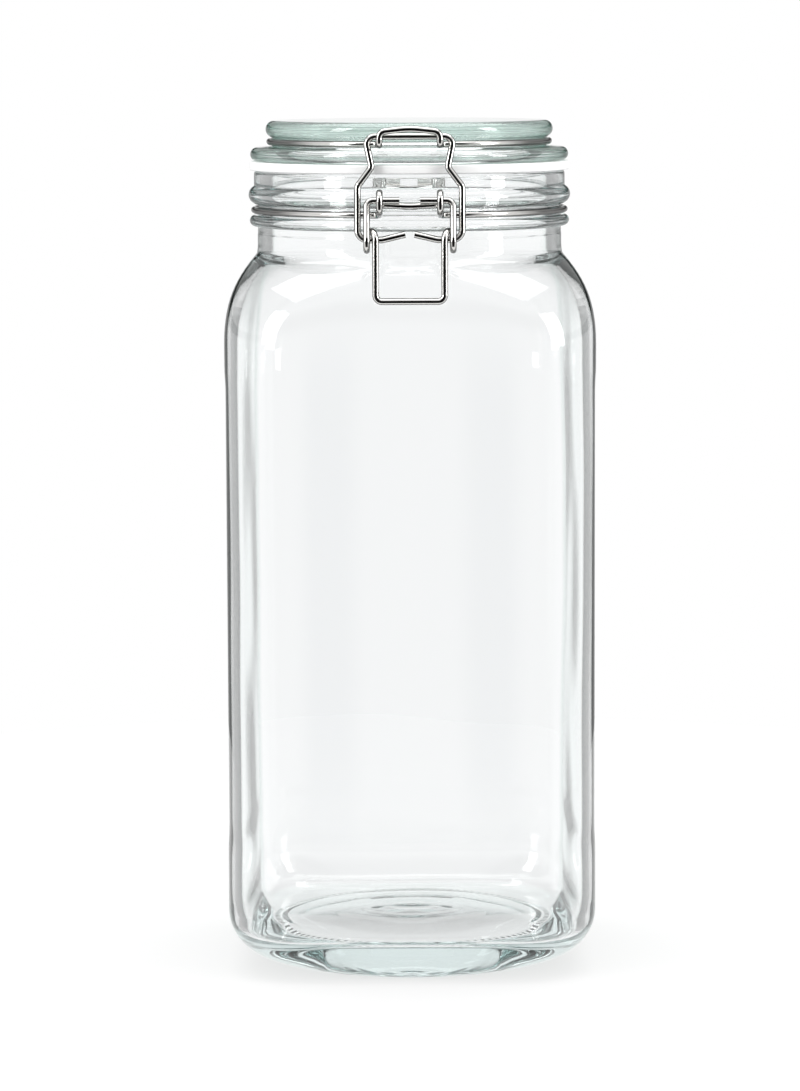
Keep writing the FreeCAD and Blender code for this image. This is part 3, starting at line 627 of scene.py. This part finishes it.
def glass_material(name, tint, edge_shade, edge_shade_from):
    material, shading, shader, output = new_material(name)
    shader.inputs["Transmission Weight"].default_value = 1.0
    shader.inputs["IOR"].default_value = 1.52
    x, y, z = shading.parts(shading.place())
    swell = shading.noise(scale=24, detail=1.5)
    turned_away = shading.turned_away()
    # Painted reflection: darker stripes mixed into the glass's colour.
    tone = shading.mixed(painted_reflection_share(shading, x, y, z), GLASS_TONE, PAINTED_REFLECTION_TONE)
    # Painted shade: the colour darkens where the glass turns edge on to the ray.
    edge = shading.ramp(turned_away, ((0.0, 0.0), (edge_shade_from, 0.0), (EDGE_SHADE_FULL, 1.0)))
    shading.put(shading.mixed(edge, tone, edge_shade), shader.inputs["Base Color"])
    shading.put(shading.spread(swell, low=0.0, high=0.012), shader.inputs["Roughness"])
    waves = shading.bump(swell, strength=0.15, distance=0.0002)
    marks = shading.bump(grip_marks(shading, x, y, z), strength=0.6, distance=0.0005, under=waves)
    shading.put(marks, shader.inputs["Normal"])
    # Painted dark reflection: a black surface mixed in on the inner side of upright glass.
    black = shading.node("BsdfDiffuse")
    black.inputs["Color"].default_value = DARK_REFLECTION_TONE
    dark_share = painted_dark_reflection(shading, turned_away)
    body = shading.chosen(dark_share, shader.outputs["BSDF"], black.outputs["BSDF"])
    clear = shading.node("BsdfTransparent")
    clear.inputs["Color"].default_value = SHADOW_TONE
    shadow_ray = shading.node("LightPath").outputs["Is Shadow Ray"]
    shading.put(shading.chosen(shadow_ray, body, clear.outputs["BSDF"]), output.inputs["Surface"])
    absorb = shading.node("VolumeAbsorption")
    absorb.inputs["Color"].default_value = tint
    absorb.inputs["Density"].default_value = TINT_DENSITY
    shading.put(absorb.outputs["Volume"], output.inputs["Volume"])
    return material


# Painted shade: gloss of the wire darkened in its colour as it turns away from the viewer, from 0 face on
# to 1 edge on.
STEEL_EDGE_SHADE = ((0.0, 1.0), (0.22, 1.0), (0.5, 0.22), (1.0, 0.15))


def steel_material():
    material, shading, shader, output = new_material("drawn_steel")
    shader.inputs["Metallic"].default_value = 1.0
    grain = shading.noise(scale=900, detail=3)
    tone = shading.mixed(grain, (0.70, 0.69, 0.67, 1), (0.80, 0.79, 0.77, 1))
    # Painted shade: the wire's colour darkens towards its edges.
    edge = shading.ramp(shading.turned_away(), STEEL_EDGE_SHADE)
    shading.put(shading.mixed(1.0, tone, edge, blend_type="MULTIPLY"), shader.inputs["Base Color"])
    shading.put(shading.spread(grain, low=0.05, high=0.13), shader.inputs["Roughness"])
    shading.put(shading.bump(grain, strength=0.12, distance=0.00003), shader.inputs["Normal"])
    return material


def rubber_material():
    material, shading, shader, output = new_material("pale_seal")
    shader.inputs["IOR"].default_value = 1.42
    shader.inputs["Subsurface Weight"].default_value = 0.25
    shader.inputs["Subsurface Radius"].default_value = (0.004, 0.004, 0.004)
    grain = shading.noise(scale=260)
    tone = shading.mixed(grain, (0.89, 0.895, 0.89, 1), (0.94, 0.945, 0.94, 1))
    shading.put(tone, shader.inputs["Base Color"])
    shading.put(shading.spread(grain, low=0.32, high=0.5), shader.inputs["Roughness"])
    shading.put(shading.bump(grain, strength=0.15, distance=0.0001), shader.inputs["Normal"])
    return material


# ---- the jar's pieces ----------------------------------------------------------------------------------
jar_material = glass_material("clear_glass", JAR_TINT, JAR_EDGE_SHADE, JAR_EDGE_SHADE_FROM)
lid_material = glass_material("lid_glass", LID_TINT, LID_EDGE_SHADE, LID_EDGE_SHADE_FROM)
steel = steel_material()

jar = glass_jar()
jar.data.materials.append(jar_material)
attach(jar, "jar")
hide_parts("glass_jar")

lid = glass_lid()
lid.data.materials.append(lid_material)
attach(lid, "lid")
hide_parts("glass_lid")

seal = seal_ring()
seal.data.materials.append(rubber_material())
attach(seal, "lid")
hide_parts("seal_ring")

for name in ("neck_wire", "lid_wire", "lever_wire", "bail_wire"):
    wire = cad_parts[name]
    wire.data.materials.clear()
    wire.data.materials.append(steel)


# ---- studio, in metres ---------------------------------------------------------------------------------
# Brightness in reflections by the direction round the jar, from 0 at the backdrop to 1 towards the camera.
AROUND_JAR = ((0.0, 1.0), (0.03, 0.9), (0.05, 0.5), (0.15, 0.4), (0.24, 0.8), (0.32, 1.0), (0.62, 1.0),
              (0.70, 0.7), (0.76, 0.03), (1.0, 0.0))
# The soft box overhead, and the dark gap between the backdrop and the ceiling, by the angle from straight
# up, at 0, to straight down, at 1.
OVERHEAD = ((0.0, 1.0), (0.26, 1.0), (0.36, 0.0), (1.0, 0.0))
GAP = ((0.0, 1.0), (0.44, 1.0), (0.452, 0.1), (0.475, 0.1), (0.49, 1.0), (1.0, 1.0))
# Brightness through the glass by the same angle.
REFRACTED = ((0.0, 1.0), (0.12, 0.9), (0.18, 0.12), (0.36, 0.08), (0.45, 0.95), (0.5, 1.0), (1.0, 1.0))
ROOM_LIGHT = 0.72           # brightness for the light that is scattered, seen in none of these ways

# The table's own light, seen straight and through the glass; its albedo falls with it, so that the open
# table stays as white as the backdrop and the shadow stays light.
CAMERA_GLOW = 0.68
GLASS_GLOW = 0.88
TABLE_ALBEDO = 0.86
ALBEDO_FALL = 0.87
TABLE_RADIUS = 0.34
TABLE_BACK = 0.12           # its middle lies this far behind the jar
TABLE_GAP = 0.0002          # and this far under the base, so that the two faces stay apart

CAMERA_DISTANCE = 1.324
CAMERA_HEIGHT = 0.284
CAMERA_ASIDE = -0.0033
CAMERA_PITCH = 6.77         # degrees downwards
CAMERA_ROLL = -0.23
LENS = 141.5                # millimetres, on a sensor 36 wide
SENSOR = 36


def background(shading, color=(1, 1, 1, 1), level=1.0):
    node = shading.node("Background")
    node.inputs["Strength"].default_value = level
    shading.put(color, node.inputs["Color"])
    return node.outputs["Background"]


def studio_world():
    """White backdrop; reflections show soft boxes at the sides and above with dark gaps between them."""
    world = bpy.data.worlds.new("studio")
    bpy.context.scene.world = world
    world.use_nodes = True
    shading = Shading(world.node_tree)
    shading.nodes.clear()
    x, y, z = shading.parts(shading.place("Generated"))
    turn = shading.calc("DIVIDE", shading.calc("ARCTAN2", shading.calc("ABSOLUTE", x), y), math.pi)
    climb = shading.calc("DIVIDE", shading.calc("ARCCOSINE", z), math.pi)
    around = shading.ramp(turn, AROUND_JAR)
    boxes = shading.calc("MAXIMUM", around, shading.ramp(climb, OVERHEAD))
    boxes = shading.calc("MULTIPLY", boxes, shading.ramp(climb, GAP))
    through = shading.ramp(climb, REFRACTED)
    rays = shading.node("LightPath").outputs
    shader = background(shading, level=ROOM_LIGHT)
    shader = shading.chosen(rays["Is Glossy Ray"], shader, background(shading, boxes))
    shader = shading.chosen(rays["Is Transmission Ray"], shader, background(shading, through))
    shader = shading.chosen(rays["Is Camera Ray"], shader, background(shading))
    shading.put(shader, shading.node("OutputWorld").inputs["Surface"])


def table_material():
    material, shading, shader, output = new_material("white_floor")
    shader.inputs["Roughness"].default_value = 0.6
    shader.inputs["Specular IOR Level"].default_value = 0.0
    rays = shading.node("LightPath").outputs
    shiny = shading.calc("MAXIMUM", rays["Is Glossy Ray"], rays["Is Transmission Ray"])
    straight = shading.calc("MULTIPLY", rays["Is Camera Ray"], CAMERA_GLOW)
    level = shading.calc("MAXIMUM", straight, shading.calc("MULTIPLY", shiny, GLASS_GLOW))
    glow = shading.node("Emission")
    shading.put(level, glow.inputs["Strength"])
    albedo = shading.calc("SUBTRACT", TABLE_ALBEDO, shading.calc("MULTIPLY", level, ALBEDO_FALL))
    shading.put(albedo, shader.inputs["Base Color"])
    both = shading.node("AddShader")
    shading.put(shader.outputs["BSDF"], both.inputs[0])
    shading.put(glow.outputs["Emission"], both.inputs[1])
    shading.put(both.outputs["Shader"], output.inputs["Surface"])
    return material


def table():
    """Round table top; past its edge the white backdrop goes on."""
    corners = [(TABLE_RADIUS * math.cos(turn), TABLE_BACK + TABLE_RADIUS * math.sin(turn), -TABLE_GAP)
               for turn in ANGLES]
    mesh = bpy.data.meshes.new("studio_floor")
    mesh.from_pydata(corners, [], [tuple(range(AROUND))])
    mesh.materials.append(table_material())
    piece = added("studio_floor", mesh)


def lamp(name, place, aim, size, power):
    data = bpy.data.lights.new(name, "AREA")
    data.shape = "RECTANGLE"
    data.size, data.size_y = size
    data.energy = power
    piece = added(name, data)
    piece.location = place
    piece.rotation_euler = (Vector(aim) - Vector(place)).to_track_quat("-Z", "Y").to_euler()


def camera():
    data = bpy.data.cameras.new("camera")
    data.lens = LENS
    data.sensor_width = SENSOR
    piece = added("camera", data)
    piece.location = (CAMERA_ASIDE, -CAMERA_DISTANCE, CAMERA_HEIGHT)
    tilt = Euler((math.radians(90 - CAMERA_PITCH), 0, 0)).to_matrix()
    roll = Matrix.Rotation(math.radians(CAMERA_ROLL), 3, "Z")
    piece.rotation_euler = (tilt @ roll).to_euler()
    bpy.context.scene.camera = piece


studio_world()
table()
lamp("overhead", place=(0, 0.1, 1.4), aim=(0, 0, 0.1), size=(1.6, 1.2), power=14)
lamp("left_window", place=(-1.1, -0.7, 0.7), aim=(0, 0, 0.15), size=(0.35, 1.0), power=9)
lamp("right_window", place=(1.2, -0.5, 0.6), aim=(0, 0, 0.15), size=(0.3, 0.9), power=8)
camera()

# Light crosses many walls of glass on its way; with fewer bounces, black patches show in heel and shoulder.
scene = bpy.context.scene
scene.view_settings.view_transform = "Standard"
scene.cycles.caustics_refractive = False
scene.cycles.caustics_reflective = False
scene.cycles.max_bounces = 56
scene.cycles.transmission_bounces = 40
scene.cycles.glossy_bounces = 40
scene.cycles.transparent_max_bounces = 24
